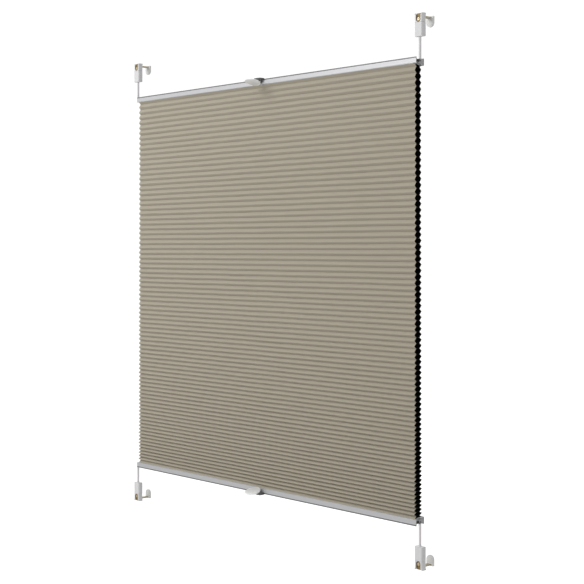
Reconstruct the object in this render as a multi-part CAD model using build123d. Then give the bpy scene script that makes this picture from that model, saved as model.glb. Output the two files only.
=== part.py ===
from build123d import *
from math import cos, radians, sin, sqrt, tan
import os

# A free-standing honeycomb blind for a window sash. Two aluminium rails hang on two crossed
# tension cords between four clamps, and a honeycomb fabric closes the space between the rails.
# Millimetres. +X runs along the rails, +Z is up, and -Y is the side that faces the room.
# Depths (Y) are counted from the front face of the rails until the whole model is centred.

# ---------------------------------------------------------------- driving sizes
blind_width = 1000.0        # length of each rail
blind_height = 1000.0       # outer edge of the top rail to outer edge of the bottom rail
rail_height = 12.5          # front wall of a rail
rail_depth = 25.5
rail_wall = 1.4
rail_web = 1.6              # floor of the channel, measured straight up
rail_fall = 4.5             # how much nearer the middle of the blind the floor ends at the rear
rear_wall_step = 2.0        # the rear wall ends this much below the front one
strip_width = 21.5          # strip under the rail that the fabric's flat end is glued to
strip_thick = 1.0
strip_play = 0.2
rib = 0.8                   # two ribs locate the strip
cell_count = 81
cell_panel = 8.7            # slanting panel of a cell, from its waist to its tip
cell_waist = 10.6           # width of the glued land between two cells
cell_lean = 0.18            # the rear tips stand higher than the front ones, as a share of the pitch
end_cell_height = 4.0       # the open half cell between a strip and the first land
fabric_wall = 0.35
fabric_inset = 6.0          # the fabric stops short of the rail ends
pitch_linear = 0.0945       # the cells close up towards the bottom, which carries less fabric
pitch_square = 0.307
cord_radius = 0.7
cord_turn = 3.5             # radius of the cord's centre line where it turns into a rail
cord_outboard = 4.5         # the outer strands hang this far outside the rail ends
cord_rear = 14.75           # depth of the inner strands, inside the fabric
cord_inboard = 21.0         # the inner strands run this far inside the rail ends
cord_depth_left = 9.6       # how deep in the channel the cord of the left clamps lies
cord_depth_right = 11.3     # and the one of the right clamps, so that they pass each other
cord_hole = 1.6             # radius of the holes for the inner strands
guide_length = 25.0
guide_sink = 0.4            # the guide lies this far inside the rail end
guide_drop = 3.6            # and its top this far below the rail's outer edge
guide_play = 0.15
passage_play = 0.45         # around a cord inside its guide
nose_half_width = 4.5
nose_tail = 5.0             # how far the nose is let into the guide
clamp_gap = 42.5            # rail edge to the inner end of a clamp
clamp_width = 22.0
clamp_flare = 1.2           # the outer end is this much wider on each side
clamp_flare_length = 6.0
clamp_depth = 12.0
clamp_setback = 1.1         # clamp front behind the rail front
clamp_head_length = 19.3    # the part that holds the screw and the hook
shoe_length = 29.9
shoe_seam = 0.3
edge_bevel = 1.8
pocket_width = 12.5
pocket_depth = 3.6
pocket_mouth = 18.4         # the pocket widens to this at the outer end
pocket_mouth_length = 4.0
seat_wall = 1.2             # between the screw head's pocket and the hook's chamber
screw_height = 12.5         # screw axis, from the outer end
screw_radius = 2.0
screw_play = 0.2
screw_head_radius = 3.5
screw_head_thick = 2.6
screw_slot = 1.0
hook_reach = 42.0           # clamp front to the back of the hook's plate
hook_plate_width = 19.6
hook_plate_height = 23.5
hook_plate_thick = 4.5
hook_plate_top = 2.6        # from the outer end of the clamp
hook_arm_width = 11.0
hook_arm_thick = 3.0
hook_arm_top = 4.7
hook_tab_thick = 2.0
hook_tab_bottom = 17.4
hook_play = 0.2
spigot_length = 7.7
spigot_play = 0.15
shoe_wall = 2.0
shoe_floor = 7.5
sleeve_radius = 3.0
sleeve_bore = 0.95
sleeve_socket = 5.0
sleeve_play = 0.05
sleeve_gap = 0.35           # between a sleeve's inner end and the nose
stop_room = 1.4             # between a cord stop and the shoe's front and rear walls
stop_length = 4.0
clip_width = 24.0
clip_foot_width = 8.0
clip_thick = 2.6            # at its foot
clip_brow = 9.5             # the top stands this far out from the rail front
clip_rise = 2.6             # above the rail edge
clip_drop = 10.0            # down the rail front
clip_inner_drop = 4.0
clip_inner_thick = 2.4
clip_play = 0.15
grip_half_width = 22.0
grip_half_length = 18.0
grip_bowl_radius = 62.0
grip_thick = 2.6
grip_tilt = 20.0
grip_forward = 25.0         # the bowl's lowest point in front of the rail
grip_below = 12.5           # and below the rail edge
grip_rib = 2.4              # thickness of the upright rib that joins the bowl to its clip
grip_rib_top = 1.5
grip_rib_foot = 9.5

# ---------------------------------------------------------------- shared places
top_edge = blind_height / 2
rail_end = blind_width / 2
rail_slope = rail_fall / rail_depth
middle_depth = rail_depth / 2
strand_x = rail_end + cord_outboard
inner_x = rail_end - cord_inboard
clamp_inner_end = top_edge + clamp_gap
clamp_outer_end = clamp_inner_end + shoe_length + shoe_seam + clamp_head_length
clamp_back = clamp_setback + clamp_depth
head_seat = clamp_setback + pocket_depth
chamber_front = head_seat + seat_wall
cord_front = clamp_setback + clamp_depth / 2
stop_radius = clamp_depth / 2 - shoe_wall - stop_room
stop_floor = clamp_inner_end + shoe_floor
strip_under = top_edge - rail_height - rail_slope * middle_depth - strip_thick
nose_radius = cord_turn - cord_radius - guide_play


def underside(depth):
    """Height of the top rail's sloping underside at a depth."""
    return top_edge - rail_height - rail_slope * depth


def section(points, length):
    """An outline in depth and height, carried the same way left and right of the middle."""
    outline = Plane.YZ * make_face(Polyline(*points, close=True))
    return extrude(outline, amount=length / 2, both=True)


def front_outline(points, front, back):
    """An outline in width and height, carried from one depth to another."""
    face = Plane.XZ.offset(-front) * make_face(Polyline(*points, close=True))
    return extrude(face, amount=-(back - front))


def block(x0, x1, y0, y1, z0, z1):
    """A block between two corners."""
    return Pos((x0 + x1) / 2, (y0 + y1) / 2, (z0 + z1) / 2) * Box(x1 - x0, y1 - y0, z1 - z0)


def along_depth(x, z, front, back, radius):
    """A round bar or hole that runs from front to back."""
    return Pos(x, (front + back) / 2, z) * Rot(90, 0, 0) * Cylinder(radius, back - front)


def upright(x, depth, low, high, radius):
    """A round bar or hole that stands up."""
    return Pos(x, depth, (low + high) / 2) * Cylinder(radius, high - low)


# ---------------------------------------------------------------- rails
def rail():
    """Extruded channel, open outwards, with a sloping floor and two ribs for the strip."""
    half_strip = strip_width / 2 + strip_play
    rib_places = (middle_depth - half_strip - rib, middle_depth + half_strip)
    points = [(0, top_edge), (0, underside(0))]
    for place in rib_places:
        points.append((place, underside(place)))
        points.append((place, underside(place) - rib))
        points.append((place + rib, underside(place + rib) - rib))
        points.append((place + rib, underside(place + rib)))
    inner_rear = rail_depth - rail_wall
    points.append((rail_depth, underside(rail_depth)))
    points.append((rail_depth, top_edge - rear_wall_step))
    points.append((inner_rear, top_edge - rear_wall_step))
    points.append((inner_rear, underside(inner_rear) + rail_web))
    points.append((rail_wall, underside(rail_wall) + rail_web))
    points.append((rail_wall, top_edge))
    body = section(points, blind_width)
    return body - cord_passages(cord_hole)


def cord_passages(radius):
    """The two upright holes for the inner strands."""
    low = underside(rail_depth) - strip_thick - rib
    right = upright(inner_x, cord_rear, low, top_edge, radius)
    return right + to_left(right)


def fabric_strip():
    """Flat strip, bonded to the fabric's flat end and held under the rail."""
    front = middle_depth - strip_width / 2
    rear = middle_depth + strip_width / 2
    points = [
        (front, underside(front)),
        (rear, underside(rear)),
        (rear, underside(rear) - strip_thick),
        (front, underside(front) - strip_thick),
    ]
    body = section(points, blind_width - 2 * fabric_inset)
    return body - cord_passages(cord_hole)


# ---------------------------------------------------------------- fabric
def cell_heights():
    """Height of every land from the top one to the bottom one."""
    top = strip_under - end_cell_height
    shares = []
    for cell in range(cell_count):
        down = (cell + 0.5) / cell_count
        shares.append(1 - pitch_linear * down - pitch_square * down * down)
    scale = 2 * top / sum(shares)
    heights = [top]
    for share in shares:
        heights.append(heights[-1] - scale * share)
    heights[-1] = -top
    return heights


def cell_opening(upper, lower):
    """Inside of the cell between two lands, and the outer tips of its front and rear."""
    half = cell_waist / 2
    pitch = upper - lower
    rise = pitch / (2 * cell_panel)
    run = sqrt(1 - rise * rise)
    reach = half + cell_panel * run
    middle = (upper + lower) / 2
    lean = cell_lean * pitch / 2
    inner_half = half - fabric_wall * (1 - run) / rise
    inner_reach = reach - fabric_wall / rise
    opening = [
        (middle_depth - inner_half, upper - fabric_wall),
        (middle_depth - inner_reach, middle - lean),
        (middle_depth - inner_half, lower + fabric_wall),
        (middle_depth + inner_half, lower + fabric_wall),
        (middle_depth + inner_reach, middle + lean),
        (middle_depth + inner_half, upper - fabric_wall),
    ]
    return opening, (middle_depth - reach, middle - lean), (middle_depth + reach, middle + lean)


def end_opening(land):
    """Inside of the half cell between the strip and the first land."""
    half = cell_waist / 2
    edge = strip_width / 2
    corners = []
    for side in (-1, 1):
        rise = strip_under - side * rail_slope * edge - land
        run = edge - half
        slant = sqrt(rise * rise + run * run)
        low = half - fabric_wall * (slant - run) / rise
        high = edge - fabric_wall * (slant + run) / rise
        corners.append((middle_depth + side * low, land + fabric_wall))
        high_z = strip_under - side * rail_slope * high - fabric_wall
        corners.append((middle_depth + side * high, high_z))
    return [corners[0], corners[1], corners[3], corners[2]]


def fabric():
    """Two pleated layers bonded at their lands into a stack of six-sided cells, open at both ends.
    Above the first land and below the last one, half a cell ends in a flat that lies on a strip."""
    heights = cell_heights()
    half = cell_waist / 2
    edge = strip_width / 2
    front_side = [(middle_depth - edge, strip_under + rail_slope * edge)]
    rear_side = [(middle_depth + edge, strip_under - rail_slope * edge)]
    top_end = end_opening(heights[0])
    openings = [top_end, [(depth, -height) for depth, height in top_end]]
    for upper, lower in zip(heights, heights[1:]):
        opening, front_tip, rear_tip = cell_opening(upper, lower)
        openings.append(opening)
        front_side += [(middle_depth - half, upper), front_tip]
        rear_side += [(middle_depth + half, upper), rear_tip]
    for side, sign in ((front_side, -1), (rear_side, 1)):
        side.append((middle_depth + sign * half, heights[-1]))
        side.append((side[0][0], -side[0][1]))
    outline = section_wire(front_side + rear_side[::-1])
    skin = Face(outline, [section_wire(opening) for opening in openings])
    length = blind_width - 2 * fabric_inset
    body = Solid.extrude(skin.moved(Location((-length / 2, 0, 0))), Vector(length, 0, 0))
    hole = upright(inner_x, cord_rear, -top_edge, top_edge, cord_hole)
    return body - hole - to_left(hole)


def section_wire(points):
    """A closed outline in depth and height."""
    return Wire.make_polygon([(0, depth, height) for depth, height in points], close=True)


# ---------------------------------------------------------------- cords
def cord(side, depth_in_rail):
    """One tension cord: down from its clamp, across the top rail, down inside the fabric on the
    other side, back across the bottom rail, and down to its second clamp."""
    run = top_edge - depth_in_rail
    end = stop_floor + stop_length
    route = FilletPolyline(
        (side * strand_x, cord_front, end),
        (side * strand_x, cord_front, run),
        (-side * inner_x, cord_rear, run),
        (-side * inner_x, cord_rear, -run),
        (side * strand_x, cord_front, -run),
        (side * strand_x, cord_front, -end),
        radius=cord_turn,
    )
    start = Plane(origin=route @ 0, z_dir=route % 0)
    print(f"cord of side {side}: {route.length:.1f} mm long, turns of {cord_turn} mm")
    return sweep(start * Circle(cord_radius), path=route)


# ---------------------------------------------------------------- rail-end guides (top right)
def guide_nose(outer_depth):
    """Hard rounded nose that the outer strand turns around, let into the guide."""
    run = top_edge - outer_depth
    axis_z = run + cord_turn
    axis_x = strand_x - cord_turn
    front = cord_front - nose_half_width
    rear = cord_front + nose_half_width
    tail = block(rail_end - guide_sink - nose_tail, axis_x, front, rear, axis_z - nose_radius, axis_z)
    return tail + along_depth(axis_x, axis_z, front, rear, nose_radius)


def cord_guide(outer_depth, inner_depth):
    """Plug in the channel's end that leads one cord in and turns the other one down."""
    front = rail_wall + guide_play
    rear = rail_depth - rail_wall - guide_play
    outer = rail_end - guide_sink
    inner = outer - guide_length
    points = [
        (front, underside(front) + rail_web),
        (rear, underside(rear) + rail_web),
        (rear, top_edge - guide_drop),
        (front, top_edge - guide_drop),
    ]
    outline = Plane.YZ * make_face(Polyline(*points, close=True))
    body = Pos(inner, 0, 0) * extrude(outline, amount=guide_length)
    outer_run = top_edge - outer_depth
    inner_run = top_edge - inner_depth
    room = cord_radius + passage_play
    lead_in = block(
        inner,
        outer,
        cord_front - room,
        cord_front + room,
        outer_run - room,
        outer_run + room,
    )
    turn_down = block(
        inner,
        inner_x + room,
        cord_rear - room,
        cord_rear + room,
        underside(rear),
        inner_run + room,
    )
    nose_seat = block(
        outer - nose_tail,
        outer,
        cord_front - nose_half_width,
        cord_front + nose_half_width,
        outer_run + cord_turn - nose_radius,
        top_edge,
    )
    return body - lead_in - turn_down - nose_seat


# ---------------------------------------------------------------- clamps (top right)
def clamp_body():
    """Moulded head with a pocket for the screw head, a chamber for the hook and a spigot below."""
    half = clamp_width / 2
    top = clamp_outer_end
    low = top - clamp_head_length
    shape = front_outline(
        [
            (-half, low),
            (-half, top - clamp_flare_length),
            (-half - clamp_flare, top),
            (half + clamp_flare, top),
            (half, top - clamp_flare_length),
            (half, low),
        ],
        clamp_setback,
        clamp_back,
    )
    shape = bevel_front_edges(shape)
    pocket_half = pocket_width / 2
    mouth = pocket_mouth / 2
    screw_z = top - screw_height
    pocket = front_outline(
        [
            (-pocket_half, screw_z),
            (-pocket_half, top - pocket_mouth_length),
            (-mouth, top),
            (mouth, top),
            (pocket_half, top - pocket_mouth_length),
            (pocket_half, screw_z),
        ],
        clamp_setback,
        head_seat,
    )
    pocket += along_depth(0, screw_z, clamp_setback, head_seat, pocket_half)
    chamber = block(
        -hook_arm_width / 2 - hook_play,
        hook_arm_width / 2 + hook_play,
        chamber_front,
        clamp_back,
        top - hook_tab_bottom - hook_play,
        top - hook_arm_top + hook_play,
    )
    hole = along_depth(0, screw_z, head_seat, chamber_front, screw_radius + screw_play)
    spigot = block(
        -half + shoe_wall + spigot_play,
        half - shoe_wall - spigot_play,
        clamp_setback + shoe_wall + spigot_play,
        clamp_back - shoe_wall - spigot_play,
        low - spigot_length,
        low,
    )
    return Pos(strand_x, 0, 0) * (shape + spigot - pocket - chamber - hole)


def bevel_front_edges(shape):
    """Bevel the edges that stand at the two front corners."""
    corners = []
    for edge in shape.edges():
        if abs(edge.center().Y - clamp_setback) < 0.01 and abs(edge.tangent_at(0).Z) > 0.5:
            corners.append(edge)
    return chamfer(corners, edge_bevel)


def clamp_screw():
    """Slotted brass screw that draws the hook towards the clamp."""
    z = clamp_outer_end - screw_height
    head = along_depth(0, z, head_seat - screw_head_thick, head_seat, screw_head_radius)
    slot_low = head_seat - screw_head_thick
    slot = block(
        -screw_head_radius,
        screw_head_radius,
        slot_low,
        slot_low + screw_slot,
        z - screw_slot / 2,
        z + screw_slot / 2,
    )
    shank = along_depth(0, z, head_seat, clamp_back - hook_play, screw_radius)
    return Pos(strand_x, 0, 0) * (head - slot + shank)


def clamp_hook():
    """Bent flat bar: a tab on the screw, an arm to the rear and a half-round pad behind the sash."""
    top = clamp_outer_end
    plate_back = clamp_setback + hook_reach
    plate_front = plate_back - hook_plate_thick
    half_arm = hook_arm_width / 2
    half_plate = hook_plate_width / 2
    tab_front = clamp_back - hook_tab_thick
    arm_top = top - hook_arm_top
    arm = block(-half_arm, half_arm, tab_front, plate_front, arm_top - hook_arm_thick, arm_top)
    tab = block(-half_arm, half_arm, tab_front, clamp_back, top - hook_tab_bottom, arm_top)
    plate_top = top - hook_plate_top
    round_z = plate_top - hook_plate_height + half_plate
    plate = block(-half_plate, half_plate, plate_front, plate_back, round_z, plate_top)
    plate += along_depth(0, round_z, plate_front, plate_back, half_plate)
    hole = along_depth(0, top - screw_height, tab_front, clamp_back, screw_radius + screw_play)
    return Pos(strand_x, 0, 0) * (arm + tab + plate - hole)


def tension_shoe():
    """Moulded box that pushes onto the clamp's spigot and anchors the cord."""
    half = clamp_width / 2
    low = clamp_inner_end
    high = low + shoe_length
    shape = bevel_front_edges(block(-half, half, clamp_setback, clamp_back, low, high))
    hollow = block(
        -half + shoe_wall,
        half - shoe_wall,
        clamp_setback + shoe_wall,
        clamp_back - shoe_wall,
        low + shoe_floor,
        high,
    )
    socket = upright(0, cord_front, low, low + sleeve_socket, sleeve_radius + sleeve_play)
    hole = upright(0, cord_front, low, low + shoe_floor, sleeve_bore)
    return Pos(strand_x, 0, 0) * (shape - hollow - socket - hole)


def cord_stop():
    """Ferrule crimped on the cord's end, which bears on the shoe's floor."""
    outer = upright(strand_x, cord_front, stop_floor, stop_floor + stop_length, stop_radius)
    return outer - upright(strand_x, cord_front, stop_floor, stop_floor + stop_length, cord_radius)


def cord_sleeve(outer_depth):
    """Stiff tube around the outer strand, from the shoe to just above the nose."""
    low = top_edge - outer_depth + cord_turn + nose_radius + sleeve_gap
    high = clamp_inner_end + sleeve_socket
    outer = upright(strand_x, cord_front, low, high, sleeve_radius)
    return outer - upright(strand_x, cord_front, low, high, sleeve_bore)


# ---------------------------------------------------------------- handles (top rail)
def grip_clip():
    """Spring clip that hooks over the rail's front wall. Its face leans out towards the top, narrows
    down to the foot, and is slotted for the grip's rib."""
    inner = rail_wall + clip_play
    hook = section(
        [
            (-clip_thick, top_edge - clip_drop),
            (-clip_brow, top_edge + clip_rise),
            (inner + clip_inner_thick, top_edge + clip_rise),
            (inner + clip_inner_thick, top_edge - clip_inner_drop),
            (inner, top_edge - clip_inner_drop),
            (inner, top_edge),
            (0, top_edge),
            (0, top_edge - clip_drop),
        ],
        clip_width,
    )
    half = clip_width / 2
    shoulder = clip_rise / 2
    wedge = front_outline(
        [
            (-half + shoulder, top_edge + clip_rise),
            (-half, top_edge + shoulder),
            (-half, top_edge - clip_inner_drop / 2),
            (-clip_foot_width / 2, top_edge - clip_drop),
            (clip_foot_width / 2, top_edge - clip_drop),
            (half, top_edge - clip_inner_drop / 2),
            (half, top_edge + shoulder),
            (half - shoulder, top_edge + clip_rise),
        ],
        -clip_brow,
        inner + clip_inner_thick,
    )
    return (hook & wedge) - grip_rib_plate()


def grip_rib_plate():
    """Upright rib from the slot in the clip to the middle of the bowl."""
    turn = radians(grip_tilt)
    mid_wall = grip_thick / 2
    rise = grip_half_length * grip_half_length / (2 * grip_bowl_radius) + mid_wall
    rear_y = -grip_forward + (grip_half_length - grip_thick) * cos(turn) + rise * sin(turn)
    rear_z = top_edge - grip_below - (grip_half_length - grip_thick) * sin(turn) + rise * cos(turn)
    tip_y = -grip_forward + grip_rib
    tip_z = top_edge - grip_below - grip_rib * tan(turn) + mid_wall / cos(turn)
    return section(
        [
            (-clip_thick, top_edge + grip_rib_top),
            (-clip_thick, top_edge - grip_rib_foot),
            (rear_y, rear_z),
            (tip_y, tip_z),
        ],
        grip_rib,
    )


def grip():
    """Leaf-shaped bowl that stands out in front of the rail on a thin rib."""
    centre = Pos(0, 0, grip_bowl_radius)
    shell = centre * Sphere(grip_bowl_radius) - centre * Sphere(grip_bowl_radius - grip_thick)
    leaf = extrude(Ellipse(grip_half_width, grip_half_length), amount=grip_bowl_radius)
    place = Pos(0, -grip_forward, top_edge - grip_below) * Rot(-grip_tilt, 0, 0)
    return place * (shell & leaf) + grip_rib_plate()


# ---------------------------------------------------------------- assembly
def to_bottom(piece):
    """The bottom half is the top half turned over in the middle plane."""
    return mirror(piece, about=Plane.XY)


def to_left(piece):
    """The left side is the right side turned over in the middle plane."""
    return mirror(piece, about=Plane.YZ)


def corners(name, right, left):
    """A fitting at each of the four corners."""
    return {
        name + "_top_right": right,
        name + "_top_left": left,
        name + "_bottom_right": to_bottom(right),
        name + "_bottom_left": to_bottom(left),
    }


def build():
    """All pieces by name, with depths counted from the rail front."""
    pieces = {}
    for name, piece in (
        ("rail", rail()),
        ("fabric_strip", fabric_strip()),
        ("grip_clip", grip_clip()),
        ("grip", grip()),
    ):
        pieces["top_" + name] = piece
        pieces["bottom_" + name] = to_bottom(piece)
    pieces["honeycomb_fabric"] = fabric()
    pieces["tension_cord_left"] = cord(-1, cord_depth_left)
    pieces["tension_cord_right"] = cord(1, cord_depth_right)
    guide_right = cord_guide(cord_depth_right, cord_depth_left)
    guide_left = to_left(cord_guide(cord_depth_left, cord_depth_right))
    pieces.update(corners("cord_guide", guide_right, guide_left))
    nose_left = to_left(guide_nose(cord_depth_left))
    pieces.update(corners("guide_nose", guide_nose(cord_depth_right), nose_left))
    sleeve_left = to_left(cord_sleeve(cord_depth_left))
    pieces.update(corners("cord_sleeve", cord_sleeve(cord_depth_right), sleeve_left))
    for name, piece in (
        ("clamp_body", clamp_body()),
        ("clamp_hook", clamp_hook()),
        ("clamp_screw", clamp_screw()),
        ("tension_shoe", tension_shoe()),
        ("cord_stop", cord_stop()),
    ):
        pieces.update(corners(name, piece, to_left(piece)))
    return pieces


pieces = build()
front_most = pieces["top_grip"].bounding_box().min.Y
rear_most = clamp_setback + hook_reach
centring = Pos(0, -(front_most + rear_most) / 2, 0)
print(f"rail front at y = {-(front_most + rear_most) / 2:.4f}")
os.makedirs("parts", exist_ok=True)
for name, piece in pieces.items():
    export_step(centring * piece, f"parts/{name}.step")
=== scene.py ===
import math
import bmesh
import bpy
import numpy as np
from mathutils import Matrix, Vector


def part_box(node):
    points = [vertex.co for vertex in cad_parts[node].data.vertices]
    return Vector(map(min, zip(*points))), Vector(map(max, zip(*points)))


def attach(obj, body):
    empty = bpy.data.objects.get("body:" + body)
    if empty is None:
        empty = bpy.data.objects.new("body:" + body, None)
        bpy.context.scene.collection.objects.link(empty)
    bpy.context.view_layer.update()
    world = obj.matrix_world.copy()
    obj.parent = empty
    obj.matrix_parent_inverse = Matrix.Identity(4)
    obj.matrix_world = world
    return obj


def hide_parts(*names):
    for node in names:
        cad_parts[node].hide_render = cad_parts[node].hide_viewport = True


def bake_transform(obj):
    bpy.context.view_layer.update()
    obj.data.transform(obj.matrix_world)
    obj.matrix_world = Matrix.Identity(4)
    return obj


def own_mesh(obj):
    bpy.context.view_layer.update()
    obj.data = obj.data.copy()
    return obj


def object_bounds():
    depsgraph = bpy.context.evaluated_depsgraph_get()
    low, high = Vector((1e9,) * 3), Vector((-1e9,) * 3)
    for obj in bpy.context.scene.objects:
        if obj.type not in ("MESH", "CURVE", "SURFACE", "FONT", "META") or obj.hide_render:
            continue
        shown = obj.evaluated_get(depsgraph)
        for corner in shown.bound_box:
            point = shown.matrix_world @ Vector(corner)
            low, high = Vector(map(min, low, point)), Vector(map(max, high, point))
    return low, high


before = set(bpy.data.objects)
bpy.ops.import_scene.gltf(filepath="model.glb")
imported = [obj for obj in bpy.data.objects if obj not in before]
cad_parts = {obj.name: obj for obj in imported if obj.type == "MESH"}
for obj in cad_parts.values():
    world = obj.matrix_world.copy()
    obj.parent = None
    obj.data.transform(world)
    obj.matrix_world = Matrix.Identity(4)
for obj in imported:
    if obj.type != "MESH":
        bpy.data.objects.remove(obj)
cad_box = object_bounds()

# ---------------------------------------------------------------- camera
# A long lens, level, at about the height of the blind's middle, seen from the right of the front.
# The shift lowers the framing without tilting the lens, so upright edges stay upright.
rail_low, rail_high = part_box("top_rail")
rail_front = rail_low[1]
camera_right = 2.2769
camera_before_rail = 2.0244
camera_height = 0.0908
camera_turn = 46.9
camera_data = bpy.data.cameras.new("camera")
camera_data.lens = 77.7
camera_data.shift_y = -0.0741
camera_data.clip_end = 100
camera = bpy.data.objects.new("camera", camera_data)
bpy.context.scene.collection.objects.link(camera)
camera.location = (camera_right, rail_front - camera_before_rail, camera_height)
camera.rotation_euler = (math.radians(90), 0, math.radians(camera_turn))
bpy.context.scene.camera = camera


# ---------------------------------------------------------------- studio
# A pale floor well below the blind, an even white surround, and one large soft lamp high up in
# front on the left, which makes the upper side of every pleat lighter than its lower side.
def principled(name, **values):
    """A material with one Principled shader; values are socket names with _ for a space."""
    material = bpy.data.materials.new(name)
    material.use_nodes = True
    shader = material.node_tree.nodes["Principled BSDF"]
    for key, value in values.items():
        shader.inputs[key.replace("_", " ")].default_value = value
    return material, material.node_tree, shader


def node(tree, kind, inputs=None, **properties):
    """A shader node with its properties set, and each input given a value or another node's output."""
    made = tree.nodes.new("ShaderNode" + kind)
    for key, value in properties.items():
        setattr(made, key, value)
    for key, value in (inputs or {}).items():
        if isinstance(value, bpy.types.NodeSocket):
            tree.links.new(value, made.inputs[key])
        else:
            made.inputs[key].default_value = value
    return made


def mesh_object(name, points, faces, smooth=True):
    """A mesh from an array of points and a list or array of faces, linked to the scene."""
    mesh = bpy.data.meshes.new(name)
    mesh.from_pydata(np.asarray(points, float).tolist(), [], [list(map(int, face)) for face in faces])
    mesh.polygons.foreach_set("use_smooth", np.full(len(mesh.polygons), smooth))
    mesh.update()
    made = bpy.data.objects.new(name, mesh)
    bpy.context.scene.collection.objects.link(made)
    return made


white_surround = 1.05        # what the lens and mirror-like surfaces see
soft_surround = 0.50         # what lights everything else
floor_height = cad_box[0][2] - 0.6
floor_half = 12.0
floor_material, tree, shader = principled("pale_floor", Base_Color=(0.93, 0.93, 0.93, 1), Roughness=0.9)
seen = node(tree, "LightPath").outputs["Is Camera Ray"]
shader.inputs["Emission Color"].default_value = (1, 1, 1, 1)
tree.links.new(node(tree, "Math", {0: seen, 1: 0.6}, operation="MULTIPLY").outputs[0],
               shader.inputs["Emission Strength"])
floor = mesh_object(
    "floor",
    [(-floor_half, -floor_half, floor_height), (floor_half, -floor_half, floor_height),
     (floor_half, floor_half, floor_height), (-floor_half, floor_half, floor_height)],
    [(0, 1, 2, 3)],
)
floor.data.materials.append(floor_material)

world = bpy.data.worlds.new("surround")
world.use_nodes = True
tree = world.node_tree
rays = node(tree, "LightPath")
mirrored = node(tree, "Math", {0: rays.outputs["Is Camera Ray"], 1: rays.outputs["Is Glossy Ray"]},
                operation="MAXIMUM").outputs[0]
strength = node(tree, "Math", {0: mirrored, 1: white_surround - soft_surround, 2: soft_surround},
                operation="MULTIPLY_ADD").outputs[0]
tree.nodes["Background"].inputs["Color"].default_value = (1, 1, 1, 1)
tree.links.new(strength, tree.nodes["Background"].inputs["Strength"])
bpy.context.scene.world = world
bpy.context.scene.view_settings.view_transform = "Standard"

key_turn = math.radians(-32)   # to the left of the blind's front
key_lift = math.radians(37)
key_distance = 4.6
key_data = bpy.data.lights.new("key_lamp", "AREA")
key_data.shape = "DISK"
key_data.size = 3.0
key_data.energy = 108
key_lamp = bpy.data.objects.new("key_lamp", key_data)
bpy.context.scene.collection.objects.link(key_lamp)
key_lamp.location = (
    key_distance * math.sin(key_turn) * math.cos(key_lift),
    -key_distance * math.cos(key_turn) * math.cos(key_lift),
    key_distance * math.sin(key_lift),
)
key_lamp.rotation_euler = (math.radians(90) - key_lift, 0, key_turn)


# ---------------------------------------------------------------- rails
# Extruded aluminium channels, clear anodised over a fine lengthwise grain. Along the outer edges a
# dark band of painted shade stands in for the shade of an edge bevel the mesh lacks, and the sawn
# ends are painted darker still, as the shade of faces turned from the lamp.
def coordinate(tree, which="Object"):
    """The object coordinates, and their three separate values."""
    source = node(tree, "TexCoord").outputs[which]
    split = node(tree, "SeparateXYZ", {"Vector": source})
    return source, split.outputs["X"], split.outputs["Y"], split.outputs["Z"]


def sums(tree, operation, first, second=0.5, third=0.5):
    """One Math node's output."""
    return node(tree, "Math", {0: first, 1: second, 2: third}, operation=operation).outputs["Value"]


def blend_colour(tree, share, first, second):
    """Two colours mixed by a share."""
    made = node(tree, "Mix", {"Factor": share}, data_type="RGBA")
    for index, colour in ((6, first), (7, second)):
        if isinstance(colour, bpy.types.NodeSocket):
            tree.links.new(colour, made.inputs[index])
        else:
            made.inputs[index].default_value = (*colour, 1)
    return made.outputs[2]


def noise(tree, vector, scale, detail=3.0, rough=0.55):
    """Noise with a scale for each axis, from 0 to 1."""
    stretched = node(tree, "Mapping", {"Vector": vector, "Scale": scale}).outputs["Vector"]
    made = node(tree, "TexNoise", {"Vector": stretched, "Scale": 1.0, "Detail": detail, "Roughness": rough})
    return made.outputs["Fac"]


def bump(tree, shader, height, distance, strength=1.0):
    """Bump on a shader from a height from 0 to 1."""
    made = node(tree, "Bump", {"Height": height, "Distance": distance, "Strength": strength})
    tree.links.new(made.outputs["Normal"], shader.inputs["Normal"])


def finish_node(name, material):
    """The CAD node keeps its shape and takes this material."""
    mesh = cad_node(name).data
    mesh.materials.clear()
    mesh.materials.append(material)


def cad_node(name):
    """The CAD node's object."""
    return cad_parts[name]


painted_edge_shade_height = 0.0028
saw_cut = 0.00004            # how near the rail's end counts as its sawn face
rail_material, tree, shader = principled("anodised_rail", Metallic=0.55, Roughness=0.42)
place, x, _, z = coordinate(tree)
grain = noise(tree, place, (4, 900, 900), 4)
blotch = noise(tree, place, (9, 60, 60), 2)
face = blend_colour(tree, grain, (0.51, 0.51, 0.525), (0.58, 0.58, 0.59))
face = blend_colour(tree, sums(tree, "MULTIPLY", blotch, 0.2), face, (0.42, 0.42, 0.43))
# Painted shade: a dark band along the rails' outer edges, standing in for an edge bevel's shade.
painted_edge_shade = sums(tree, "GREATER_THAN", sums(tree, "ABSOLUTE", z), rail_high[2] - painted_edge_shade_height)
face = blend_colour(tree, painted_edge_shade, face, (0.16, 0.16, 0.165))
# Painted shade: the end faces are coloured darker, as faces turned from the lamp.
painted_end_shade = sums(tree, "GREATER_THAN", sums(tree, "ABSOLUTE", x), rail_high[0] - saw_cut)
face = blend_colour(tree, painted_end_shade, face, (0.30, 0.30, 0.31))
tree.links.new(face, shader.inputs["Base Color"])
tree.links.new(sums(tree, "MULTIPLY_ADD", grain, 0.22, 0.24), shader.inputs["Roughness"])
bump(tree, shader, grain, 0.00003)
for name in ("top_rail", "bottom_rail"):
    finish_node(name, rail_material)

strip_material, tree, shader = principled("mill_aluminium", Metallic=0.9, Roughness=0.45)
place = coordinate(tree)[0]
grain = noise(tree, place, (3, 700, 700), 3)
milled = blend_colour(tree, grain, (0.50, 0.50, 0.51), (0.62, 0.62, 0.62))
tree.links.new(milled, shader.inputs["Base Color"])
bump(tree, shader, grain, 0.00003)
for name in ("top_fabric_strip", "bottom_fabric_strip"):
    finish_node(name, strip_material)


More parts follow.
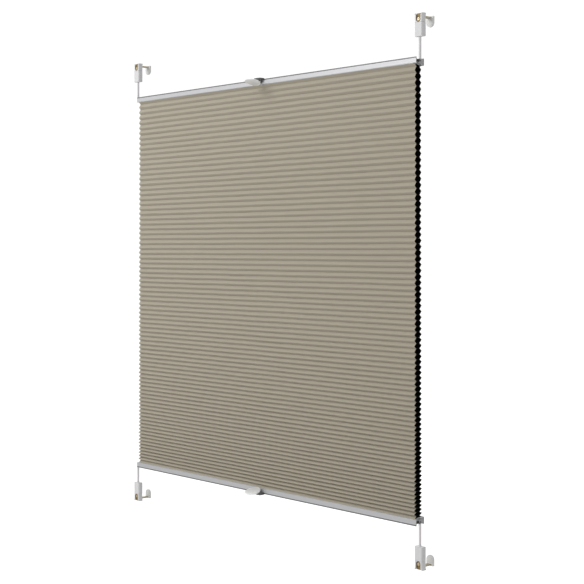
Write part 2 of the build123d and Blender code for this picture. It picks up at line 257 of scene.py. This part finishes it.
# ---------------------------------------------------------------- honeycomb fabric
# Two layers of crepe polyester, black inside, pleated and glued at every second fold into
# 81 six-sided cells, with an open half cell glued flat to each rail's strip, which moves with
# that rail. The upper cells carry the weight of the lower ones and stand more open.
cell_count = 81
panel = 0.0087
waist = 0.0106
lean_share = 0.18
wall = 0.00035
pitch_linear = 0.0945
pitch_square = 0.307
end_cell_height = 0.004
glue = 0.00005               # between the flat end and the strip
tip_round = 1.12             # 1 would be straight panels with a sharp tip
panel_steps = 5
stations = 36
wobble = 0.00018
wave_drift = 37              # how fast the waves shift from cell to cell
land_margin = 0.0005         # the waves leave the lands and this much beside them straight
rail_fall = 0.0045           # the floor of the rail ends this much lower at its rear
fabric_low, fabric_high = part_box("honeycomb_fabric")
rail_depth = rail_high[1] - rail_low[1]
middle = rail_front + rail_depth / 2
strip_low, strip_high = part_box("top_fabric_strip")
strip_half = (strip_high[1] - strip_low[1]) / 2
rail_slope = rail_fall / rail_depth
strip_under = strip_low[2] + rail_slope * strip_half - glue


def land_heights(top):
    """Heights of all lands: each pitch is 1 - linear s - square s^2 of the top one, s running down."""
    share = (np.arange(cell_count) + 0.5) / cell_count
    pitches = 1 - pitch_linear * share - pitch_square * share**2
    return top - 2 * top * np.concatenate([[0], np.cumsum(pitches) / pitches.sum()])


def cell_corners(heights, seed):
    """Corners of a run of cells, as (cell, side, corner, depth and height): upper land, tip, lower
    land, front side first. Half the pitch and the slanting panel make a right triangle with the
    run from the land to the tip. Returns the outer corners and those one wall further in."""
    upper, lower = heights[:-1], heights[1:]
    rise = (upper - lower) / (2 * panel)
    run = np.sqrt(1 - rise**2)
    lean = lean_share * (upper - lower) / 2
    shift = np.random.default_rng(seed).uniform(-1, 1, (2, len(rise))) * wobble
    outer = np.zeros((len(rise), 2, 3, 2))
    inner = np.zeros_like(outer)
    for side, sign in ((0, -1), (1, 1)):
        reach = waist / 2 + panel * run + shift[side]
        land = waist / 2 - wall * (1 - run) / rise
        for corners, low_depth, tip_depth, drop in (
            (outer, waist / 2 + 0 * rise, reach, 0),
            (inner, land, reach - wall / rise, wall),
        ):
            corners[:, side, :, 0] = middle + sign * np.stack([low_depth, tip_depth, low_depth], -1)
            corners[:, side, 0, 1] = upper - drop
            corners[:, side, 1, 1] = (upper + lower) / 2 + sign * lean
            corners[:, side, 2, 1] = lower + drop
    return outer, inner


def end_corners(land_height):
    """Corners of the half cell under the top strip: flat along the sloping strip from the land's
    width to the strip's edge, then straight down to the first land."""
    outer = np.zeros((1, 2, 3, 2))
    inner = np.zeros_like(outer)
    for side, sign in ((0, -1), (1, 1)):
        rise = strip_under - sign * rail_slope * strip_half - land_height
        run = strip_half - waist / 2
        slant = math.hypot(rise, run)
        low = waist / 2 - wall * (slant - run) / rise
        high = strip_half - wall * (slant + run) / rise
        for corners, flat_start, edge, land, drop in (
            (outer, waist / 2, strip_half, waist / 2, 0),
            (inner, low, high, low, wall),
        ):
            corners[0, side, :, 0] = middle + sign * np.array([flat_start, edge, land])
            corners[0, side, 0, 1] = strip_under - sign * rail_slope * flat_start - drop
            corners[0, side, 1, 1] = strip_under - sign * rail_slope * edge - drop
            corners[0, side, 2, 1] = land_height + drop
    return outer, inner


def rounded_sides(corners, straight):
    """Points along each side: from land to land, t runs from 0 to 1 and the side stands out by
    1 - |2t - 1|^p of the tip's reach, p being tip_round, or 1 for a straight one."""
    t = np.arange(2 * panel_steps + 1) / (2 * panel_steps)
    power = np.where(straight, 1.0, tip_round)[:, None, None]
    away = np.abs(2 * t - 1)[None, None, :]
    start, tip, stop = corners[:, :, 0], corners[:, :, 1], corners[:, :, 2]
    land = np.where(t[None, None, :, None] <= 0.5, start[:, :, None], stop[:, :, None])
    points = land + (tip[:, :, None] - land) * (1 - away)[..., None]
    points[..., 0] = land[..., 0] + (tip[:, :, None, 0] - land[..., 0]) * (1 - away**power)
    return points


def cloth_skin(name, outer, inner, straight, seed):
    """A run of cells carried along the rails as one closed skin: outer layer, inner layer, and the
    cut edges between them. Depth and height waver along X by a few slow sines, but for the lands."""
    outer, inner = (rounded_sides(corners, np.full(len(corners), straight)) for corners in (outer, inner))
    cells, steps = outer.shape[0], outer.shape[2]
    along = np.linspace(fabric_low[0], fabric_high[0], stations)
    chain = steps - 1
    in_order = outer[:, :, :-1].transpose(1, 0, 2, 3).reshape(2, -1, 2)
    outer_chain = np.concatenate([in_order, outer[-1][:, -1:]], 1)
    profile = np.concatenate([outer_chain.reshape(-1, 2), inner.reshape(-1, 2)])
    count = len(profile)
    per_side = cells * chain + 1
    chance = np.random.default_rng(seed + 1)
    phase = chance.uniform(0, 2 * np.pi, (4, 1, 1))
    waves = np.array([3.1, 7.3, 12.7, 17.9])[:, None, None]
    height_phase = profile[None, None, :, 1] * wave_drift
    sway = np.sin(waves * along[None, :, None] * 2 + phase + height_phase).sum(0) * wobble * 0.5
    away = np.abs(profile[:, 0] - middle) > waist / 2 + land_margin
    points = np.zeros((stations, count, 3))
    points[..., 0] = along[:, None]
    points[..., 1] = profile[None, :, 0] + sway * away * 0.5
    points[..., 2] = profile[None, :, 1] + sway * away
    base = np.arange(cells)[:, None] * chain + np.arange(chain)[None, :]
    front = base.reshape(-1)
    rear = front + per_side
    inner_start = 2 * per_side
    inner_front = inner_start + (np.arange(cells)[:, None] * 2 * steps + np.arange(chain)).reshape(-1)
    inner_rear = inner_front + steps
    land = inner_start + np.arange(cells) * 2 * steps
    segments = np.concatenate([
        np.stack([front, front + 1], -1),
        np.stack([rear + 1, rear], -1),
        [[per_side, 0]],
        [[per_side - 1, 2 * per_side - 1]],
        np.stack([inner_front + 1, inner_front], -1),
        np.stack([inner_rear, inner_rear + 1], -1),
        np.stack([land, land + steps], -1),
        np.stack([land + 2 * steps - 1, land + steps - 1], -1),
    ])
    lined = np.arange(len(segments)) >= 2 * len(front) + 2
    offset = np.arange(stations - 1)[:, None, None] * count
    quads = np.stack([segments[:, 0], segments[:, 1], segments[:, 1] + count, segments[:, 0] + count], -1)
    sides = (quads[None] + offset).reshape(-1, 4)
    land_front = np.arange(cells) * chain
    rim = np.concatenate([
        np.stack([front + 1, front, inner_front, inner_front + 1], -1),
        np.stack([rear, rear + 1, inner_rear + 1, inner_rear], -1),
        np.stack([land_front, land_front + per_side, land + steps, land], -1),
        np.stack(
            [land_front + chain + per_side, land_front + chain, land + chain, land + steps + chain], -1
        ),
    ])
    faces = np.concatenate([sides, rim, rim[:, ::-1] + (stations - 1) * count])
    made = mesh_object(name, points.reshape(-1, 3), faces, smooth=False)
    slots = np.concatenate([np.tile(lined, stations - 1), np.full(2 * len(rim), 2)]).astype(np.int32)
    made.data.polygons.foreach_set("material_index", slots)
    return made


heights = land_heights(strip_under + glue - end_cell_height)
split = int(np.argmin(np.abs(heights)))

cloth_material, tree, shader = principled("crepe_cloth", Roughness=0.85)
shader.inputs["Sheen Weight"].default_value = 0.15
place = coordinate(tree)[0]
weave = noise(tree, place, (700, 1500, 1500), 3)
slub = noise(tree, place, (14, 420, 420), 4)
patch = noise(tree, place, (6, 6, 6), 2)
colour = blend_colour(tree, slub, (0.385, 0.350, 0.278), (0.455, 0.414, 0.330))
colour = blend_colour(tree, sums(tree, "MULTIPLY", patch, 0.3), colour, (0.41, 0.365, 0.285))
tree.links.new(colour, shader.inputs["Base Color"])
bump(tree, shader, sums(tree, "ADD", weave, slub), 0.00012)

lining_material, tree, shader = principled("black_lining", Roughness=0.95)
shader.inputs["Specular IOR Level"].default_value = 0.08
place = coordinate(tree)[0]
lining = noise(tree, place, (300, 600, 600), 2)
black = blend_colour(tree, lining, (0.004, 0.004, 0.004), (0.009, 0.008, 0.008))
tree.links.new(black, shader.inputs["Base Color"])
bump(tree, shader, lining, 0.00005)


for side, part, end_land, rail, seed in (
    ("upper", heights[: split + 1], heights[0], "top_rail", 3),
    ("lower", heights[split:], heights[-1], "bottom_rail", 5),
):
    cells = cloth_skin("fabric_" + side, *cell_corners(part, seed), False, seed)
    half_cell = end_corners(abs(end_land))
    if end_land < 0:
        half_cell = [corners[:, :, ::-1] * (1, -1) for corners in half_cell]
    glued_end = cloth_skin(f"fabric_{side}_end", *half_cell, True, seed)
    for piece in (cells, glued_end):
        for material in (cloth_material, lining_material, lining_material):
            piece.data.materials.append(material)
        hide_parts("honeycomb_fabric")
    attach(glued_end, rail)
    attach(cells, "root")
    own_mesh(cells)


# ---------------------------------------------------------------- clamps
# White moulded heads and shoes with softened edges. The screw's pocket in each head is lined
# with brass, which shows as a warm floor behind the screw.
screw_low, screw_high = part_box("clamp_screw_top_right")
strand_x = (screw_low[0] + screw_high[0]) / 2
corners_of_blind = ("top_right", "top_left", "bottom_right", "bottom_left")


def softened(source, body, width, material):
    """A copy of a CAD node with its doubles merged, its flats joined and its edges rounded."""
    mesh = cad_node(source).data.copy()
    mesh.materials.clear()
    mesh.materials.append(material)
    work = bmesh.new()
    work.from_mesh(mesh)
    bmesh.ops.remove_doubles(work, verts=work.verts, dist=0.000002)
    bmesh.ops.dissolve_limit(work, angle_limit=0.001, verts=work.verts, edges=work.edges)
    work.to_mesh(mesh)
    work.free()
    mesh.polygons.foreach_set("use_smooth", np.ones(len(mesh.polygons), bool))
    mesh.set_sharp_from_angle(angle=math.radians(35))
    made = bpy.data.objects.new(source + "_finished", mesh)
    bpy.context.scene.collection.objects.link(made)
    rounding = made.modifiers.new("rounding", "BEVEL")
    rounding.width = width
    rounding.segments = 2
    rounding.limit_method = "ANGLE"
    rounding.angle_limit = math.radians(35)
    rounding.harden_normals = True
    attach(made, body)
    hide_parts(source)
    return made


clamp_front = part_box("clamp_body_top_right")[0][1]
pocket_half = 0.00625
pocket_skin = 0.0004
pocket_above_screw = 0.0032
lining_start = 0.0012        # depths of the brass behind the clamp's face
lining_stop = 0.0041
clamp_material, tree, shader = principled("white_moulding", Roughness=0.38)
shader.inputs["Subsurface Weight"].default_value = 0.05
shader.inputs["Subsurface Radius"].default_value = (0.002, 0.0018, 0.0016)
place, x, y, z = coordinate(tree)
mottle = noise(tree, place, (160, 160, 90), 3)
plastic = blend_colour(tree, mottle, (0.70, 0.70, 0.705), (0.745, 0.745, 0.75))
from_axis = sums(tree, "ABSOLUTE", sums(tree, "SUBTRACT", sums(tree, "ABSOLUTE", x), strand_x))
in_width = sums(tree, "LESS_THAN", from_axis, pocket_half + pocket_skin)
in_height = sums(tree, "GREATER_THAN", sums(tree, "ABSOLUTE", z), screw_low[2] - pocket_above_screw)
behind_face = sums(tree, "GREATER_THAN", y, clamp_front + lining_start)
before_chamber = sums(tree, "LESS_THAN", y, clamp_front + lining_stop)
lined = sums(tree, "MULTIPLY", sums(tree, "MULTIPLY", in_width, in_height),
             sums(tree, "MULTIPLY", behind_face, before_chamber))
stain = noise(tree, place, (420, 420, 420), 3)
brass = blend_colour(tree, stain, (0.16, 0.105, 0.035), (0.36, 0.26, 0.11))
tree.links.new(blend_colour(tree, lined, plastic, brass), shader.inputs["Base Color"])
tree.links.new(sums(tree, "MULTIPLY", lined, 0.35), shader.inputs["Metallic"])
tree.links.new(sums(tree, "MULTIPLY_ADD", lined, 0.2, 0.36), shader.inputs["Roughness"])
bump(tree, shader, mottle, 0.00004)
for corner in corners_of_blind:
    softened("clamp_body_" + corner, "root", 0.00045, clamp_material)
    softened("tension_shoe_" + corner, "root", 0.00045, clamp_material)


# ---------------------------------------------------------------- clamp screws
# Turned brass screws with a slotted head, duller in the turning marks.
screw_material, tree, shader = principled("turned_brass", Metallic=0.8, Roughness=0.38)
place = coordinate(tree)[0]
marks = noise(tree, place, (1500, 300, 1500), 3)
turned = blend_colour(tree, marks, (0.42, 0.33, 0.17), (0.74, 0.64, 0.44))
tree.links.new(turned, shader.inputs["Base Color"])
bump(tree, shader, marks, 0.00004)
for corner in corners_of_blind:
    finish_node("clamp_screw_" + corner, screw_material)


# ---------------------------------------------------------------- clamp hooks
# Bent flat steel, yellow passivated, with a white coat on the half-round pad behind the sash.
pad_thick = 0.0045
coat_reach = 0.0012          # the coat runs this far on to the arm
plate_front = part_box("clamp_hook_top_right")[1][1] - pad_thick
hook_material, tree, shader = principled("passivated_hook", Roughness=0.36)
place, _, y, _ = coordinate(tree)
film = noise(tree, place, (130, 130, 130), 2)
metal = blend_colour(tree, film, (0.30, 0.26, 0.16), (0.44, 0.40, 0.29))
coat = blend_colour(tree, film, (0.78, 0.78, 0.765), (0.81, 0.81, 0.80))
bare = sums(tree, "LESS_THAN", y, plate_front - coat_reach)
tree.links.new(blend_colour(tree, bare, coat, metal), shader.inputs["Base Color"])
tree.links.new(sums(tree, "MULTIPLY", bare, 0.75), shader.inputs["Metallic"])
bump(tree, shader, film, 0.00003)
for corner in corners_of_blind:
    softened("clamp_hook_" + corner, "hook_" + corner, 0.0006, hook_material)


# ---------------------------------------------------------------- guides, sleeves and stops
# Small mouldings in grey, rounded noses that the strands turn around, painted near-black as the
# shade inside each guide's mouth, stiff pale sleeves that run from a shoe to the nose, and brass
# ferrules crimped on the cord's ends.
def moulded(name, dark, light, roughness, scale=220.0):
    """Moulded plastic with a faint flow pattern."""
    material, tree, shader = principled(name, Roughness=roughness)
    place = coordinate(tree)[0]
    flow = noise(tree, place, (scale, scale, scale), 3)
    tree.links.new(blend_colour(tree, flow, dark, light), shader.inputs["Base Color"])
    bump(tree, shader, flow, 0.00004)
    return material


sleeve_material = moulded("sleeve_tube", (0.78, 0.765, 0.78), (0.84, 0.82, 0.84), 0.6)
sleeve_material.node_tree.nodes["Principled BSDF"].inputs["Specular IOR Level"].default_value = 0.1
for prefix, material in (
    ("cord_guide_", moulded("guide_moulding", (0.36, 0.36, 0.37), (0.44, 0.44, 0.45), 0.5)),
    # Painted shade: the noses are near-black as the shade inside each guide's mouth.
    ("guide_nose_", moulded("nose_painted_mouth_shade", (0.010, 0.010, 0.011), (0.022, 0.022, 0.023), 0.35)),
    ("cord_sleeve_", sleeve_material),
    ("cord_stop_", screw_material),
):
    for corner in corners_of_blind:
        finish_node(prefix + corner, material)


# ---------------------------------------------------------------- grip clips
# Dark grey spring clips over the rail's outer edge, narrowing down the face.
clip_material = moulded("clip_moulding", (0.085, 0.085, 0.088), (0.125, 0.125, 0.13), 0.4)
for side in ("top", "bottom"):
    softened(side + "_grip_clip", side + "_rail", 0.0004, clip_material)


# ---------------------------------------------------------------- grips
# One moulding each: a leaf-shaped bowl with a rolled rim, and an upright rib that plugs into the
# clip. Slightly milky plastic, painted lighter towards the rim as light shining through the thin edge.
bowl_radius = 0.062
bowl_thick = 0.0026
grip_width = 0.022
grip_length = 0.018
grip_tilt = math.radians(20)
grip_forward = 0.025
grip_below = 0.0125
rib_half = 0.0012
clip_front = 0.0026
rib_top = 0.0015
rib_foot = 0.0095


def bowl_surface(rings=18, turns=72, rim_steps=6):
    """A thin shell cut from a sphere. At angle q and share r of the outline, the middle surface is at
    a r cos q, b r sin q of an ellipse; it is offset along the sphere's normal by half the wall,
    and at the rim the offset turns half a circle outwards. Returns points, faces and each r."""
    angle = np.linspace(0, 2 * np.pi, turns, endpoint=False)
    half = bowl_thick / 2
    turn = np.linspace(0, np.pi, rim_steps + 1)
    growing = np.linspace(0, 1, rings)
    share = np.concatenate([growing[1:], np.ones(rim_steps - 1), growing[::-1][:-1]])
    along = np.concatenate([np.zeros(rings - 1), half * np.sin(turn[1:-1]), np.zeros(rings - 1)])
    across = np.concatenate(
        [np.full(rings - 1, half), half * np.cos(turn[1:-1]), np.full(rings - 1, -half)]
    )
    outline_x = (grip_width - half) * np.cos(angle)
    outline_y = (grip_length - half) * np.sin(angle)
    away = np.hypot(outline_x, outline_y)
    flat_x, flat_y = share[:, None] * outline_x, share[:, None] * outline_y
    radial = share[:, None] * away
    middle_radius = bowl_radius - half
    depth = np.sqrt(middle_radius**2 - radial**2)
    normal = np.stack([-flat_x, -flat_y, depth], -1) / middle_radius
    outward = np.stack([outline_x / away, outline_y / away, 0 * away], -1)[None]
    outward = outward - (outward * normal).sum(-1, keepdims=True) * normal
    centre = np.stack([flat_x, flat_y, bowl_radius - depth], -1)
    points = centre + normal * across[:, None, None] + outward * along[:, None, None]
    count = len(share)
    poles = np.array([[0, 0, bowl_thick], [0, 0, 0.0]])
    index = np.arange(count * turns).reshape(count, turns)
    here, ahead = index, np.roll(index, -1, 1)
    quads = np.stack([here[:-1], here[1:], ahead[1:], ahead[:-1]], -1).reshape(-1, 4).tolist()
    top = np.stack([np.full(turns, count * turns), here[0], ahead[0]], -1).tolist()
    under = np.stack([np.full(turns, count * turns + 1), ahead[-1], here[-1]], -1).tolist()
    shares = np.concatenate([np.repeat(share, turns), [0, 0]])
    return np.concatenate([points.reshape(-1, 3), poles]), quads + top + under, shares


def rib_points():
    """Corners of the rib's outline in depth and height above the rail edge, from the clip to the bowl."""
    mid = bowl_thick / 2
    rise = grip_length**2 / (2 * bowl_radius) + mid
    inner = grip_length - bowl_thick
    rear = (-grip_forward + inner * math.cos(grip_tilt) + rise * math.sin(grip_tilt),
            -grip_below - inner * math.sin(grip_tilt) + rise * math.cos(grip_tilt))
    tip = (-grip_forward + 2 * rib_half,
           -grip_below - 2 * rib_half * math.tan(grip_tilt) + mid / math.cos(grip_tilt))
    return np.array([(-clip_front, rib_top), (-clip_front, -rib_foot), rear, tip])


grip_material, tree, shader = principled("milky_moulding", Roughness=0.28, Subsurface_Weight=0.35)
shader.inputs["Subsurface Radius"].default_value = (0.003, 0.003, 0.003)
place = coordinate(tree)[0]
flow = noise(tree, place, (120, 120, 120), 3)
milk = blend_colour(tree, flow, (0.74, 0.745, 0.755), (0.80, 0.805, 0.81))
towards_rim = node(tree, "Attribute", attribute_name="towards_rim").outputs["Fac"]
# Painted light: the colour whitens towards the rim, as light shining through the thin edge.
painted_rim_light = sums(tree, "POWER", towards_rim, 3.0)
tree.links.new(blend_colour(tree, painted_rim_light, milk, (0.93, 0.94, 0.94)), shader.inputs["Base Color"])
bump(tree, shader, flow, 0.00004)
for side, up in (("top", 1), ("bottom", -1)):
    points, faces, shares = bowl_surface()
    cosine, sine = math.cos(grip_tilt), math.sin(grip_tilt)
    turned = points @ np.array([[1, 0, 0], [0, cosine, -sine], [0, sine, cosine]])
    placed = turned + (0, -grip_forward, -grip_below)
    outline = rib_points()
    rib = np.concatenate([np.insert(outline, 0, offset, 1) for offset in (-rib_half, rib_half)])
    rib_faces = [[0, 1, 2, 3], [7, 6, 5, 4]] + [[i, i + 4, (i + 1) % 4 + 4, (i + 1) % 4] for i in range(4)]
    shell = len(placed)
    everything = np.concatenate([placed, rib]) * (1, 1, up) + (0, rail_front, up * rail_high[2])
    all_faces = faces + [[corner + shell for corner in face] for face in rib_faces]
    if up < 0:
        all_faces = [face[::-1] for face in all_faces]
    piece = mesh_object(side + "_grip_moulding", everything, all_faces)
    work = bmesh.new()
    work.from_mesh(piece.data)
    bmesh.ops.recalc_face_normals(work, faces=work.faces)
    work.to_mesh(piece.data)
    work.free()
    piece.data.set_sharp_from_angle(angle=math.radians(50))
    rim = piece.data.attributes.new("towards_rim", "FLOAT", "POINT")
    rim.data.foreach_set("value", np.concatenate([shares, np.full(len(rib), 0.5)]))
    piece.data.materials.append(grip_material)
    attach(piece, side + "_rail")
    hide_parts(side + "_grip")


# ---------------------------------------------------------------- tension cords
# Two braided cords, each in one length: down from a shoe, around a nose into the top rail, across
# it, down inside the cells on the other side, and back the same way. On the blind the outer strands
# lengthen as a rail slides and the inner ones shorten; here every piece is a fixed tube, and only
# the crossings ride with their rails.
cord_radius = 0.0007
cord_turn = 0.0035
outer_depth = 0.0071
inner_depth = 0.01475
cord_inboard = 0.021
end_inside_stop = 0.0005
cord_front = rail_front + outer_depth
cord_rear = rail_front + inner_depth
inner_x = rail_high[0] - cord_inboard
depth_in_rail = {"left": 0.0096, "right": 0.0113}
cord_sides = {"left": -1, "right": 1}
strand_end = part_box("cord_stop_top_right")[1][2] - end_inside_stop

cord_material, tree, shader = principled("braided_cord", Roughness=0.75)
place = coordinate(tree)[0]
braid = noise(tree, place, (1400, 1400, 900), 2)
yarn = blend_colour(tree, braid, (0.30, 0.30, 0.31), (0.50, 0.50, 0.51))
tree.links.new(yarn, shader.inputs["Base Color"])
bump(tree, shader, braid, 0.0001)


def cord_piece(name, points, side):
    """A round tube along a smooth spline through given points, as a mesh."""
    curve = bpy.data.curves.new(name + "_line", "CURVE")
    curve.dimensions = "3D"
    curve.bevel_depth = cord_radius
    curve.bevel_resolution = 3
    curve.use_fill_caps = True
    curve.resolution_u = 6
    spline = curve.splines.new("NURBS")
    spline.points.add(len(points) - 1)
    spline.points.foreach_set("co", [value for point in points for value in (*point, 1)])
    spline.order_u = 3
    spline.use_endpoint_u = True
    drawn = bpy.data.objects.new(name + "_line", curve)
    mesh = bpy.data.meshes.new_from_object(drawn)
    bpy.data.objects.remove(drawn)
    work = bmesh.new()
    work.from_mesh(mesh)
    bmesh.ops.remove_doubles(work, verts=work.verts, dist=0.000002)
    bmesh.ops.recalc_face_normals(work, faces=work.faces)
    work.to_mesh(mesh)
    work.free()
    mesh.polygons.foreach_set("use_smooth", np.ones(len(mesh.polygons), bool))
    mesh.materials.clear()
    mesh.materials.append(cord_material)
    made = bpy.data.objects.new(name, mesh)
    bpy.context.scene.collection.objects.link(made)
    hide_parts("tension_cord_" + side)
    return made


for side, sign in cord_sides.items():
    for rail, up in (("top_rail", 1), ("bottom_rail", -1)):
        end = f"{rail.removesuffix('_rail')}_{side}"
        run = rail_high[2] - depth_in_rail[side]
        outside = (sign * strand_x, cord_front)
        inside = (-sign * inner_x, cord_rear)
        turn_start = (*outside, up * (run + cord_turn))
        stop_end = (*outside, up * strand_end)
        strand = cord_piece(
            "outer_strand_" + end, [stop_end, (*outside, up * (strand_end + run) / 2), turn_start], side
        )
        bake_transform(strand)
        crossing = cord_piece(
            "crossing_" + end,
            [
                turn_start,
                (*outside, up * run),
                (sign * (strand_x - cord_turn), cord_front, up * run),
                (-sign * (inner_x - cord_turn), cord_rear, up * run),
                (*inside, up * run),
                (*inside, up * (run - cord_turn)),
            ],
            side,
        )
        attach(crossing, rail)
        length = run - cord_turn
        drop = cord_piece(
            "inner_strand_" + end,
            [(*inside, up * length), (*inside, up * length / 2), (*inside, 0)],
            side,
        )
        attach(drop, "root")
        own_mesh(drop)
